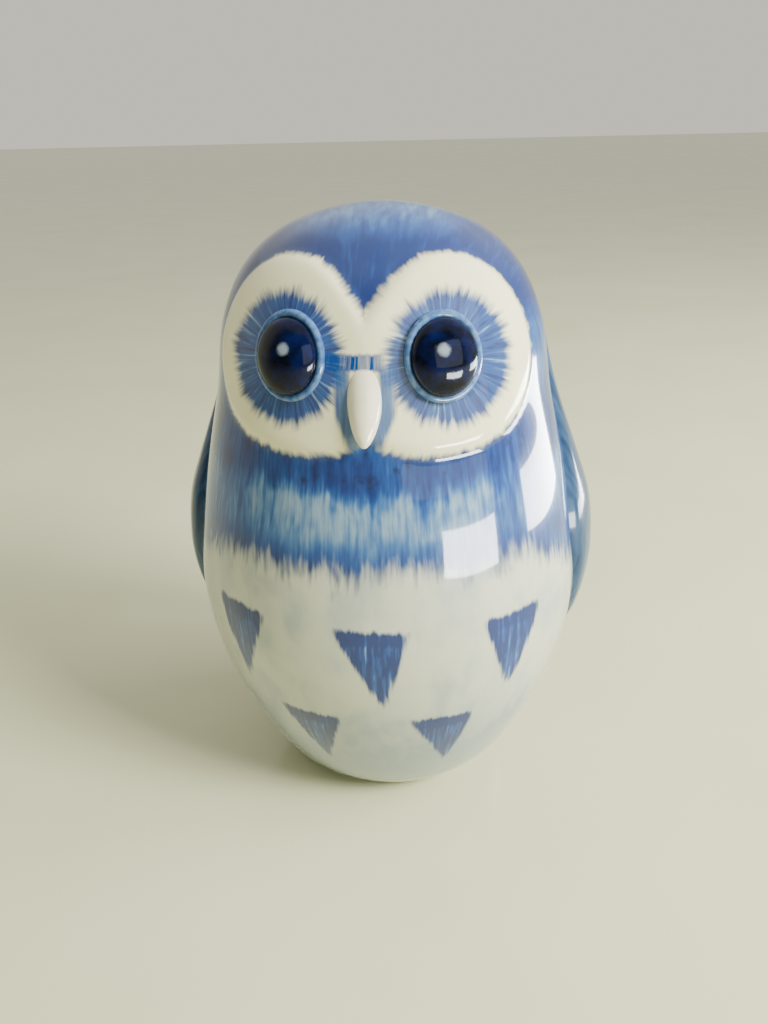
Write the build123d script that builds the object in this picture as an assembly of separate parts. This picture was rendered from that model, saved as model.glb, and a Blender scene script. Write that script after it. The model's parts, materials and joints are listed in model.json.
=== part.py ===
from build123d import *
import math
import os

# Owl figurine in glazed porcelain, hollow slip cast, facing -Y and standing on a foot ring.
# Millimetres, +Z up, origin on the table under the middle of the owl.
# Left and right are the owl's own: its left is at +X.
#
# Skins are shaped round first, as if the owl were turned on a wheel, and each piece is then
# squeezed front to back by DEPTH_RATIO, so that neighbours still meet. The flat faces of the
# foot and of the base plate are cut after that, as ovals.

# Body: height and round outline as (height, radius)
HEIGHT = 120.0
OUTLINE_ROWS = [
    (1.2, 19.6),
    (4.5, 24.4),
    (16.0, 31.3),
    (31.5, 37.0),
    (47.0, 39.1),
    (63.0, 37.4),
    (76.0, 34.6),
    (88.0, 31.6),
    (100.0, 29.6),
    (110.5, 24.3),
    (117.0, 15.2),
]
DEPTH_RATIO = 0.875
WALL = 4.0

# Foot ring, and the plate that closes the casting hole
FOOT_OUTER_R = 19.6
FOOT_INNER_R = 16.4
FOOT_H = 1.2
FOOT_SPARE = 0.6
PLATE_R = 15.0
PLATE_T = 2.6
CASTING_HOLE_R = 12.8
VENT_R = 1.5

# Eyes: angle round from the front, height, half sizes of the dome, and how far it stands out
EYE_ANGLE = 24.4
EYE_Z = 98.8
EYE_HALF_W = 5.6
EYE_HALF_H = 6.3
EYE_HALF_D = 3.1
EYE_OUT = 0.4
LID_HALF_W = 5.95
LID_HALF_H = 6.6
LID_R = 0.8
LID_SINK = 0.25

# Beak: drop hanging from the root between the eyes
BEAK_ROOT_Z = 101.0
BEAK_TIP_Z = 85.5
BEAK_HALF_W = 3.0
BEAK_WIDEST = 0.45
BEAK_ROOT_SINK = 2.4
BEAK_TIP_OUT = 2.6

# Wings: each row is height, angle of the front edge, angle of the back edge, rise off the body
WING_ROWS = [
    (97.0, 98.0, 108.0, 0.5),
    (89.0, 92.0, 132.0, 1.5),
    (80.0, 86.0, 146.0, 2.2),
    (71.0, 79.5, 154.0, 3.2),
    (63.0, 75.5, 157.0, 4.2),
    (54.5, 75.5, 156.0, 4.0),
    (46.0, 79.0, 150.0, 3.2),
    (38.0, 84.5, 139.0, 2.4),
    (31.0, 93.0, 125.0, 1.6),
    (26.0, 104.0, 114.0, 0.6),
]
WING_EDGE_SINK = 0.8
WING_INSIDE = 3.0

# Tail: each row is height, half width and rise off the back
TAIL_ROWS = [
    (42.0, 5.5, 0.2),
    (34.0, 8.6, 1.2),
    (25.0, 10.6, 3.6),
    (16.0, 10.2, 5.6),
    (9.0, 7.6, 6.2),
    (6.0, 4.6, 5.0),
]
TAIL_INSIDE = 4.0


def half_outline(rows, top_z):
    """Smooth half outline through rows of height and radius, closing flat on the axis.

    The curve is laid over the crown and down the other side, and cut in the middle."""
    near = [(radius, z) for z, radius in rows]
    far = [(-radius, z) for z, radius in reversed(rows)]
    return Spline(*near, (0.0, top_z), *far).trim(0.0, 0.5)


OUTLINE = half_outline(OUTLINE_ROWS, HEIGHT)


def body_radius(z):
    """Radius of the round body at a height, found along its outline by halving."""
    low, high = 0.0, 1.0
    for _ in range(40):
        middle = 0.5 * (low + high)
        if (OUTLINE @ middle).Y < z:
            low = middle
        else:
            high = middle
    return (OUTLINE @ low).X


def flank_point(z, angle, rise):
    """Point off the body's skin at a height and an angle from the front, towards +X."""
    radius = body_radius(z) + rise
    turn = math.radians(angle)
    return Vector(radius * math.sin(turn), -radius * math.cos(turn), z)


def skin_plane(z, angle, out):
    """Plane that touches the body at a height and angle: its Z points out, its Y up the skin."""
    turn = math.radians(angle)
    across = Vector(math.cos(turn), math.sin(turn), 0.0)
    upwards = flank_point(z + 0.5, angle, 0.0) - flank_point(z - 0.5, angle, 0.0)
    outward = across.cross(upwards).normalized()
    return Plane(origin=flank_point(z, angle, 0.0) + outward * out, x_dir=across, z_dir=outward)


def turned(outline, base):
    """Solid turned from a half outline and the base line that closes it on the axis."""
    face = make_face(Plane.XZ * (outline + Polyline(outline @ 0, *base, outline @ 1)))
    return revolve(face, Axis.Z, 360)


def outer_form():
    """The whole outside of the body as one solid, with some spare length under the foot."""
    return turned(OUTLINE, [(FOOT_OUTER_R, -FOOT_SPARE), (0.0, -FOOT_SPARE)])


def cavity_form():
    """The hollow inside, one wall in from the outside."""
    floor_z = FOOT_H + WALL
    shrink = (HEIGHT - WALL) / HEIGHT
    corner = (floor_z, OUTLINE_ROWS[1][1] - WALL)
    rows = [corner] + [(z * shrink, radius - WALL) for z, radius in OUTLINE_ROWS[2:]]
    return turned(half_outline(rows, HEIGHT - WALL), [(0.0, floor_z)])


def oval(radius, z_low, z_high):
    """Flat oval disc on the axis between two heights, as deep for its width as the body."""
    return Pos(0, 0, z_low) * extrude(Ellipse(radius, radius * DEPTH_RATIO), z_high - z_low)


def squeezed(shape):
    """A finished round-shaped piece, pressed front to back to the owl's real depth."""
    return scale(shape, by=(1.0, DEPTH_RATIO, 1.0), about=(0.0, 0.0, 0.0))


def mirrored(shape, side):
    """The shape itself at +X, or its mirror image at -X."""
    return shape if side > 0 else mirror(shape, about=Plane.YZ)


def largest(shape):
    """The biggest solid of a cut."""
    return max(shape.solids(), key=lambda solid: solid.volume)


def eye_dome(side):
    """Flattened glossy dome that sits in its socket."""
    ball = scale(Sphere(1.0), by=(EYE_HALF_W, EYE_HALF_H, EYE_HALF_D))
    return mirrored(skin_plane(EYE_Z, EYE_ANGLE, EYE_OUT) * ball, side)


def lid_ring(side, body, eye):
    """Raised rim luted round the eye, cut to the body and to the dome."""
    hoop = scale(Torus(1.0, LID_R / LID_HALF_W), by=(LID_HALF_W, LID_HALF_H, LID_HALF_W))
    placed = mirrored(skin_plane(EYE_Z, EYE_ANGLE, -LID_SINK) * hoop, side)
    return largest(placed - body - eye)


def body_shell(outer, eyes):
    """Cast wall with its foot ring, casting hole, plate seat and eye sockets."""
    shell = outer - cavity_form()
    for eye in eyes:
        shell -= eye
    shell = squeezed(largest(shell))
    shell -= oval(2 * FOOT_OUTER_R, -2 * FOOT_SPARE, 0.0)
    shell -= oval(FOOT_INNER_R, 0.0, FOOT_H)
    shell -= oval(PLATE_R, FOOT_H, FOOT_H + PLATE_T)
    shell -= oval(CASTING_HOLE_R, FOOT_H, FOOT_H + 2 * WALL)
    return largest(shell)


def base_plate():
    """Plate that closes the casting hole, with the kiln's round vent hole."""
    plate = oval(PLATE_R, FOOT_H, FOOT_H + PLATE_T)
    return plate - Pos(0, 0, FOOT_H) * Cylinder(VENT_R, 3 * PLATE_T)


def beak(body):
    """Drop-shaped beak: pointed tip that stands out, widest below the middle, round root."""
    root = flank_point(BEAK_ROOT_Z, 0.0, -BEAK_ROOT_SINK)
    tip = flank_point(BEAK_TIP_Z, 0.0, BEAK_TIP_OUT)
    length = (root - tip).length
    widest = (BEAK_HALF_W, BEAK_WIDEST * length)
    lower = Spline((0, 0), widest, tangents=[(0.6, 0.8), (0.0, 1.0)])
    upper = Spline(widest, (0, length), tangents=[(0.0, 1.0), (-1.0, 0.0)])
    face = make_face(lower + upper + Line((0, length), (0, 0)))
    rise = (root - tip).normalized()
    hang = Plane(origin=tip, x_dir=(1, 0, 0), z_dir=Vector(1, 0, 0).cross(rise))
    return largest(hang * revolve(face, Axis.Y, 360) - body)


def wing_section(row):
    """Lens-shaped slice of a wing at one height, from inside the body to its proud skin."""
    z, front, back, rise = row
    span = back - front
    outside = [
        flank_point(z, front, -WING_EDGE_SINK),
        flank_point(z, front + 0.10 * span, 0.62 * rise),
        flank_point(z, front + 0.36 * span, rise),
        flank_point(z, front + 0.70 * span, 0.72 * rise),
        flank_point(z, back, -WING_EDGE_SINK),
    ]
    inside = flank_point(z, front + 0.5 * span, -WING_INSIDE)
    return make_face(Spline(*outside) + Polyline(outside[-1], inside, outside[0]))


def wing(side, body):
    """Folded wing: a long crowned leaf on the flank, point down."""
    leaf = loft([wing_section(row) for row in WING_ROWS])
    return mirrored(largest(leaf - body), side)


def tail_section(row):
    """Slice of the tail at one height, crowned outwards from the back."""
    z, half, rise = row
    back = body_radius(z)
    left = (-half, back - TAIL_INSIDE, z)
    right = (half, back - TAIL_INSIDE, z)
    return make_face(ThreePointArc(left, (0, back + rise, z), right) + Line(right, left))


def tail(body):
    """Short tail: a rounded tongue low on the back."""
    return largest(loft([tail_section(row) for row in TAIL_ROWS]) - body)


def save(shape, node):
    """Write one node's STEP file."""
    export_step(shape, "parts/" + node + ".step")


def main():
    """Make every piece and write it."""
    os.makedirs("parts", exist_ok=True)
    outer = outer_form()
    eye_left = eye_dome(1)
    eye_right = eye_dome(-1)
    save(body_shell(outer, [eye_left, eye_right]), "body_shell")
    save(base_plate(), "base_plate")
    save(squeezed(eye_left), "eye_left")
    save(squeezed(eye_right), "eye_right")
    save(squeezed(lid_ring(1, outer, eye_left)), "eyelid_ring_left")
    save(squeezed(lid_ring(-1, outer, eye_right)), "eyelid_ring_right")
    save(squeezed(beak(outer)), "beak")
    save(squeezed(wing(1, outer)), "wing_left")
    save(squeezed(wing(-1, outer)), "wing_right")
    save(squeezed(tail(outer)), "tail")


main()
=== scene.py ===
import functools
import json
import logging
import math
from dataclasses import dataclass
from enum import Enum
from typing import Callable, Sequence

import bmesh
import bpy
from mathutils import Matrix, Vector

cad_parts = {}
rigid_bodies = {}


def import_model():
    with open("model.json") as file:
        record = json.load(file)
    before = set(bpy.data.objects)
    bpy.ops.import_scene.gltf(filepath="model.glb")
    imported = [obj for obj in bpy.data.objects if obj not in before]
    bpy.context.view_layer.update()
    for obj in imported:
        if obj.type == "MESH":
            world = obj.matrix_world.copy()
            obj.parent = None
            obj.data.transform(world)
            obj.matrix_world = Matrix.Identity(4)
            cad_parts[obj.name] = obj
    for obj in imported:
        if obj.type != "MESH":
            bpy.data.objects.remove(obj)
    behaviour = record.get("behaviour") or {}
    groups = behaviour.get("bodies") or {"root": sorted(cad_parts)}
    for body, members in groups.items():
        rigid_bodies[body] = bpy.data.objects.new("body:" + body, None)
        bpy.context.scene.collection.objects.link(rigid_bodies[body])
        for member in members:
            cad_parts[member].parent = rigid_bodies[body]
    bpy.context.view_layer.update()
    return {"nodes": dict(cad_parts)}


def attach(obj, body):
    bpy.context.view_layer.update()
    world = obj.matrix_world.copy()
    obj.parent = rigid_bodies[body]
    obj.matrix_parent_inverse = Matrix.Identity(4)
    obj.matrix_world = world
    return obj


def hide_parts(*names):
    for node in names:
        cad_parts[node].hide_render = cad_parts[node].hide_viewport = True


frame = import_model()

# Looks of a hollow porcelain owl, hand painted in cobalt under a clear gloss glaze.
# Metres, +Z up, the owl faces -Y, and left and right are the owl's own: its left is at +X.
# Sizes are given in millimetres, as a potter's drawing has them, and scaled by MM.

MM = 0.001
BODY = "root"

Number = float
Colour = tuple[float, float, float, float]
Station = tuple[float, float]


class Side(Enum):
    """Which side of the owl a piece is on, as the sign of its X."""

    LEFT = 1
    RIGHT = -1


class Slot(Enum):
    """Material slots of the record, one for each kind of new piece."""

    BODY = "painted_glaze"
    EYES = "navy_glaze"
    LIDS = "lid_glaze"
    BEAK = "ivory_glaze"
    WINGS = "wing_glaze"
    TAIL = "tail_glaze"


def ink(red: int, green: int, blue: int) -> Colour:
    """Linear colour of a pigment given as it looks, from 0 to 255.

    Args:
        red: Red as it looks.
        green: Green as it looks.
        blue: Blue as it looks.

    Returns:
        Linear red, green and blue, and full alpha.
    """
    looks = (red / 255, green / 255, blue / 255)
    linear = [c / 12.92 if c <= 0.04045 else ((c + 0.055) / 1.055) ** 2.4 for c in looks]
    return (linear[0], linear[1], linear[2], 1.0)


def ease(value: float, low: float, high: float) -> float:
    """Smooth step from 0 at low to 1 at high.

    Args:
        value: Where the step is read.
        low: Value at which it starts.
        high: Value at which it ends.

    Returns:
        A share from 0 to 1.
    """
    share = min(1.0, max(0.0, (value - low) / (high - low)))
    return share * share * (3.0 - 2.0 * share)


@dataclass(frozen=True)
class Fair:
    """Fair curve through stations of place and value, held level beyond its ends."""

    stations: tuple[Station, ...]

    def slope(self, index: int) -> float:
        """Slope of the curve at one of its stations."""
        last = len(self.stations) - 1
        before, after = self.stations[max(0, index - 1)], self.stations[min(last, index + 1)]
        return (after[1] - before[1]) / (after[0] - before[0])

    def at(self, place: float) -> float:
        """Value of the curve at a place.

        Args:
            place: Where the curve is read.

        Returns:
            The value there.
        """
        stations = self.stations
        place = min(stations[-1][0], max(stations[0][0], place))
        index = max(i for i in range(len(stations) - 1) if stations[i][0] <= place)
        (x0, v0), (x1, v1) = stations[index], stations[index + 1]
        span = x1 - x0
        t = (place - x0) / span
        rest = 1.0 - t
        ends = v0 * (1.0 + 2.0 * t) * rest * rest + v1 * t * t * (3.0 - 2.0 * t)
        turns = self.slope(index) * t * rest * rest - self.slope(index + 1) * t * t * rest
        return ends + span * turns


@dataclass(frozen=True)
class OwlForm:
    """Overall form of the owl: a turned outline pressed front to back. Millimetres."""

    height: float = 120.0
    depth: float = 0.875
    wall: float = 4.0
    rows: tuple[Station, ...] = (
        (1.2, 19.6), (4.5, 24.4), (16.0, 31.3), (31.5, 37.0), (47.0, 39.1), (63.0, 37.4),
        (76.0, 34.6), (88.0, 31.6), (100.0, 29.6), (110.5, 24.3), (117.0, 15.2),
    )

    @functools.cache
    def curves(self) -> tuple[Fair, Fair]:
        """Radius and height along the outline, by length from the foot, carried over the crown."""
        rows = [*self.rows, (self.height, 0.0), (self.rows[-1][0], -self.rows[-1][1])]
        length, radii, heights = 0.0, [], []
        for index, (z, radius) in enumerate(rows):
            if index:
                length += math.dist(rows[index - 1], rows[index])
            radii.append((length, radius))
            heights.append((length, z))
        return Fair(tuple(radii)), Fair(tuple(heights))

    def outline(self, share: float) -> tuple[float, float]:
        """Radius and height at a share of the way from the foot to the crown.

        Args:
            share: 0 at the foot, 1 at the crown.

        Returns:
            Radius and height in millimetres.
        """
        radii, heights = self.curves()
        length = share * radii.stations[-2][0]
        return radii.at(length), heights.at(length)

    @functools.cache
    def radius(self, z: float) -> float:
        """Radius of the round form at a height, found along the outline by halving."""
        low, high = 0.0, 1.0
        for _ in range(22):
            middle = 0.5 * (low + high)
            low, high = (middle, high) if self.outline(middle)[1] < z else (low, middle)
        return self.outline(low)[0]

    def point(self, z: float, angle: float, out: float = 0.0) -> Vector:
        """Point off the skin in millimetres, pressed to the owl's real depth.

        Args:
            z: Height.
            angle: Degrees round from the front, towards +X.
            out: Distance off the round skin.

        Returns:
            The point.
        """
        reach, turn = self.radius(z) + out, math.radians(angle)
        return Vector((reach * math.sin(turn), -self.depth * reach * math.cos(turn), z))

    @functools.cache
    def seat(self, z: float, angle: float, out: float) -> Matrix:
        """Frame on the skin in metres: X across, Y up the skin and Z outwards.

        Args:
            z: Height in millimetres.
            angle: Degrees round from the front, towards +X.
            out: Distance off the skin in millimetres.

        Returns:
            The frame as a matrix.
        """
        across = (self.point(z, angle + 1.0) - self.point(z, angle - 1.0)).normalized()
        upwards = self.point(z + 0.5, angle) - self.point(z - 0.5, angle)
        upwards = (upwards - across * upwards.dot(across)).normalized()
        outward = across.cross(upwards)
        columns = Matrix((across, upwards, outward)).transposed().to_4x4()
        return Matrix.Translation((self.point(z, angle) + outward * out) * MM) @ columns

    def place(self, spot: Vector) -> tuple[float, float, float]:
        """Angle from the front in degrees, height, and distance off the axis of the round form.

        Args:
            spot: A point in metres.

        Returns:
            Angle, height and distance, in degrees and millimetres.
        """
        x, y = spot.x / MM, -spot.y / MM / self.depth
        return math.degrees(math.atan2(x, y)), spot.z / MM, math.hypot(x, y)


@dataclass(frozen=True)
class Face:
    """Layout of the face round each eye, in millimetres on the skin, outwards and upwards."""

    eye_angle: float = 24.4
    eye_z: float = 98.8
    lobe_round: float = 17.2
    lobe_shift: float = 1.2
    lobe_shift_turn: float = -20.0
    lobe_oval: float = 1.4
    lobe_oval_turn: float = 30.0
    lobe_corner: float = 0.9
    lobe_corner_turn: float = 85.0
    iris_out: float = 1.5
    iris_up: float = -0.5
    iris_radius: float = 11.0
    disc_height: float = 0.9
    disc_edge: float = 2.4
    dish_depth: float = 0.4
    dish_inner: float = 7.0
    dish_outer: float = 15.5

    def lobe(self, cosine: float, sine: float) -> float:
        """Reach of a face lobe from the eye's middle, by direction.

        The lobe is round, with its middle shifted outwards, longest along a line up and
        outwards, and has three soft corners with one at the top. It takes plain numbers, and
        paint values too, because it only adds and multiplies.

        Args:
            cosine: Share of the direction that runs outwards.
            sine: Share of the direction that runs upwards.

        Returns:
            The reach in millimetres.
        """
        double = (2.0 * cosine * cosine - 1.0, 2.0 * cosine * sine)
        triple = (
            4.0 * cosine * cosine * cosine - 3.0 * cosine,
            3.0 * sine - 4.0 * sine * sine * sine,
        )
        shapes = (
            (self.lobe_shift, self.lobe_shift_turn, (cosine, sine)),
            (self.lobe_oval, self.lobe_oval_turn, double),
            (self.lobe_corner, self.lobe_corner_turn, triple),
        )
        reach = self.lobe_round
        for count, (amount, turn, wave) in enumerate(shapes, 1):
            phase = math.radians(count * turn)
            reach = reach + amount * math.cos(phase) * wave[0] + amount * math.sin(phase) * wave[1]
        return reach

    def local(self, form: OwlForm, spot: Vector) -> tuple[float, float, float]:
        """Place of a point in the frame of the eye on its own side.

        Args:
            form: The owl's overall form.
            spot: A point in metres.

        Returns:
            Distances outwards, upwards, and straight from the eye's middle, in millimetres.
        """
        seat = form.seat(self.eye_z, self.eye_angle, 0.0)
        gap = Vector((abs(spot.x), spot.y, spot.z)) - seat.translation
        return gap.dot(seat.col[0].xyz) / MM, gap.dot(seat.col[1].xyz) / MM, gap.length / MM


FORM = OwlForm()
FACE = Face()


class Clay:
    """A piece while it is being shaped: a primitive, then edit-mode tools, then modifiers."""

    def __init__(self, name: str, add: Callable[[], object]) -> None:
        """Deselects everything, adds the primitive and names it.

        Args:
            name: Name of the piece.
            add: Call that adds the primitive.
        """
        bpy.ops.object.select_all(action="DESELECT")
        add()
        self.piece = bpy.context.active_object
        self.piece.name = name
        self.piece.data.name = name

    @classmethod
    def ring(cls, name: str, sides: int, row: tuple[float, float, float]) -> "Clay":
        """Open ring to pull a form up from.

        Args:
            name: Name of the piece.
            sides: Edges round the ring.
            row: Radius, height and distance in front of the axis, in millimetres.

        Returns:
            The started piece.
        """
        radius, z, front = row
        return cls(name, lambda: bpy.ops.mesh.primitive_circle_add(
            vertices=sides, radius=radius * MM, fill_type="NOTHING",
            location=(0.0, -front * MM, z * MM),
        ))

    def settle(self) -> None:
        """Puts the piece's place, turn and size into its mesh."""
        bpy.ops.object.transform_apply(location=True, rotation=True, scale=True)

    def open(self) -> bmesh.types.BMesh:
        """Goes into edit mode.

        Returns:
            The mesh being edited.
        """
        if self.piece.mode != "EDIT":
            bpy.ops.object.mode_set(mode="EDIT")
        return bmesh.from_edit_mesh(self.piece.data)

    def close(self) -> None:
        """Leaves edit mode."""
        if self.piece.mode == "EDIT":
            bpy.ops.object.mode_set(mode="OBJECT")

    def pull(self, rows: Sequence[tuple[float, float, float]], depth: float = 1.0) -> None:
        """Pulls an open ring up through rows, closes both ends and turns its faces outwards.

        Args:
            rows: Radius, height and distance in front of the axis of each row.
            depth: How deep the finished form is for its width.
        """
        self.settle()
        self.open()
        bpy.ops.mesh.select_all(action="SELECT")
        for (radius, z, front), (new_radius, new_z, new_front) in zip(rows, rows[1:]):
            shift = (0.0, (front - new_front) * MM, (new_z - z) * MM)
            bpy.ops.mesh.extrude_region_move(TRANSFORM_OT_translate={"value": shift})
            grow = new_radius / radius
            bpy.ops.transform.resize(
                value=(grow, grow, 1.0), center_override=(0.0, -new_front * MM, new_z * MM)
            )
        self.cap()
        bpy.ops.mesh.select_all(action="SELECT")
        bpy.ops.transform.resize(value=(1.0, depth, 1.0), center_override=(0.0, 0.0, 0.0))
        bpy.ops.mesh.normals_make_consistent(inside=False)
        self.close()

    def cap(self) -> None:
        """Closes each open end with a small face of its own."""
        mesh = self.open()
        heights = {round(edge.verts[0].co.z, 7) for edge in mesh.edges if edge.is_boundary}
        for height in heights:
            bpy.ops.mesh.select_all(action="DESELECT")
            mesh = self.open()
            for edge in mesh.edges:
                edge.select_set(edge.is_boundary and round(edge.verts[0].co.z, 7) == height)
            bpy.ops.mesh.edge_face_add()

    def keep(self, test: Callable[[Vector], bool]) -> None:
        """Cuts away every face whose middle fails a test.

        Args:
            test: Says of a point in metres whether it is kept.
        """
        mesh = self.open()
        bpy.ops.mesh.select_mode(type="FACE")
        bpy.ops.mesh.select_all(action="DESELECT")
        for face in mesh.faces:
            face.select_set(not test(face.calc_center_median()))
        bpy.ops.mesh.delete(type="FACE")
        bpy.ops.mesh.select_mode(type="VERT")
        self.close()

    def halve(self, spot: Vector, outward: Vector) -> None:
        """Cuts the piece flat and keeps the side that the direction points to.

        Args:
            spot: Point on the cut.
            outward: Direction of the side that stays.
        """
        self.open()
        bpy.ops.mesh.select_all(action="SELECT")
        bpy.ops.mesh.bisect(plane_co=spot, plane_no=outward, clear_inner=True, use_fill=True)
        self.close()

    def press(self, middle: Vector, sizes: tuple[float, float, float],
              test: Callable[[Vector], bool]) -> None:
        """Grows or presses the points that pass a test.

        Args:
            middle: Point that doesn't move.
            sizes: Growth along X, Y and Z.
            test: Says of a point in metres whether it is changed.
        """
        mesh = self.open()
        bpy.ops.mesh.select_all(action="DESELECT")
        for vertex in mesh.verts:
            vertex.select_set(test(vertex.co))
        mesh.select_flush(True)
        bpy.ops.transform.resize(value=sizes, center_override=middle)
        self.close()

    def apply(self, kind: str, settings: dict[str, object]) -> None:
        """Adds one modifier with its settings and applies it.

        Args:
            kind: Type of the modifier.
            settings: Its settings by name.
        """
        modifier = self.piece.modifiers.new(kind.title(), kind)
        for name, value in settings.items():
            setattr(modifier, name, value)
        bpy.ops.object.modifier_apply(modifier=modifier.name)

    def soften(self, levels: int) -> None:
        """Rounds the whole piece with a subdivision surface."""
        self.apply("SUBSURF", {"levels": levels, "render_levels": levels})

    def swell(self, height: float, share: Callable[[Vector], float]) -> None:
        """Raises the skin along its normals by a share of a height at each point.

        Args:
            height: Full height in millimetres, below zero to press the skin in.
            share: Share of the height at a point in metres, from 0 to 1.
        """
        group = self.piece.vertex_groups.new(name="swell")
        for vertex in self.piece.data.vertices:
            amount = share(vertex.co)
            if amount > 0.0:
                group.add([vertex.index], amount, "REPLACE")
        self.apply("DISPLACE", {
            "strength": height * MM, "mid_level": 0.0, "direction": "NORMAL",
            "vertex_group": group.name,
        })
        self.piece.vertex_groups.clear()

    def hand_over(self, finish: bpy.types.Material, slot: Slot, nodes: Sequence[str]
                  ) -> bpy.types.Object:
        """Smooths the shading, dresses the piece and puts it in its place in the model.

        Args:
            finish: Material of the piece.
            slot: Material slot of the record; not used.
            nodes: CAD nodes that it stands for.

        Returns:
            The finished object.
        """
        self.close()
        bpy.ops.object.shade_smooth_by_angle(angle=math.radians(50.0))
        self.piece.data.materials.clear()
        self.piece.data.materials.append(finish)
        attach(self.piece, BODY)
        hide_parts(*nodes)
        logging.info("%s: %d faces", self.piece.name, len(self.piece.data.polygons))
        return self.piece


class Paint:
    """A value that varies over the surface, with the sums that are done on it."""

    def __init__(self, bench: "Bench", socket: bpy.types.NodeSocket) -> None:
        """Keeps the bench that makes nodes and the socket that gives the value."""
        self.bench = bench
        self.socket = socket

    def __add__(self, other: "Paint | Number") -> "Paint":
        """Sum."""
        return self.bench.sum("ADD", self, other)

    def __radd__(self, other: "Paint | Number") -> "Paint":
        """Sum, from the right."""
        return self.bench.sum("ADD", other, self)

    def __sub__(self, other: "Paint | Number") -> "Paint":
        """Difference."""
        return self.bench.sum("SUBTRACT", self, other)

    def __rsub__(self, other: "Paint | Number") -> "Paint":
        """Difference, from the right."""
        return self.bench.sum("SUBTRACT", other, self)

    def __mul__(self, other: "Paint | Number") -> "Paint":
        """Product."""
        return self.bench.sum("MULTIPLY", self, other)

    def __rmul__(self, other: "Paint | Number") -> "Paint":
        """Product, from the right."""
        return self.bench.sum("MULTIPLY", other, self)

    def __truediv__(self, other: "Paint | Number") -> "Paint":
        """Quotient."""
        return self.bench.sum("DIVIDE", self, other)

    def __abs__(self) -> "Paint":
        """Size without its sign."""
        return self.bench.sum("ABSOLUTE", self, 0.0)

    def least(self, other: "Paint | Number") -> "Paint":
        """Smaller of two values."""
        return self.bench.sum("MINIMUM", self, other)

    def merge(self, other: "Paint", reach: float) -> "Paint":
        """Smaller of two values, rounded where they meet."""
        node = self.bench.make("ShaderNodeMath", {"operation": "SMOOTH_MIN"},
                               {0: self, 1: other, 2: reach})
        return Paint(self.bench, node.outputs[0])

    def most(self, other: "Paint | Number") -> "Paint":
        """Larger of two values."""
        return self.bench.sum("MAXIMUM", self, other)

    def step(self, low: float, high: float) -> "Paint":
        """Smooth step from 0 at low to 1 at high, which may run downwards.

        Args:
            low: Value at which it is 0.
            high: Value at which it is 1.

        Returns:
            A share from 0 to 1.
        """
        up = low < high
        settings = {"interpolation_type": "SMOOTHSTEP", "clamp": True}
        inputs = {
            "Value": self, "From Min": min(low, high), "From Max": max(low, high),
            "To Min": 0.0 if up else 1.0, "To Max": 1.0 if up else 0.0,
        }
        return Paint(self.bench, self.bench.make("ShaderNodeMapRange", settings, inputs).outputs[0])


@dataclass(frozen=True)
class Skin:
    """Where a point is on the owl, as paint values in millimetres and degrees."""

    x: Paint
    y: Paint
    z: Paint
    angle: Paint
    sine: Paint
    cosine: Paint


@dataclass(frozen=True)
class Gloss:
    """How the clear glaze over a colour shines, and how its skin ripples."""

    roughness: float = 0.16
    uneven: float = 0.05
    coat: float = 1.0
    coat_roughness: float = 0.03
    coat_index: float = 1.38
    under: float = 0.1
    ripple_size: float = 7.0
    ripple_depth: float = 0.012


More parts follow.
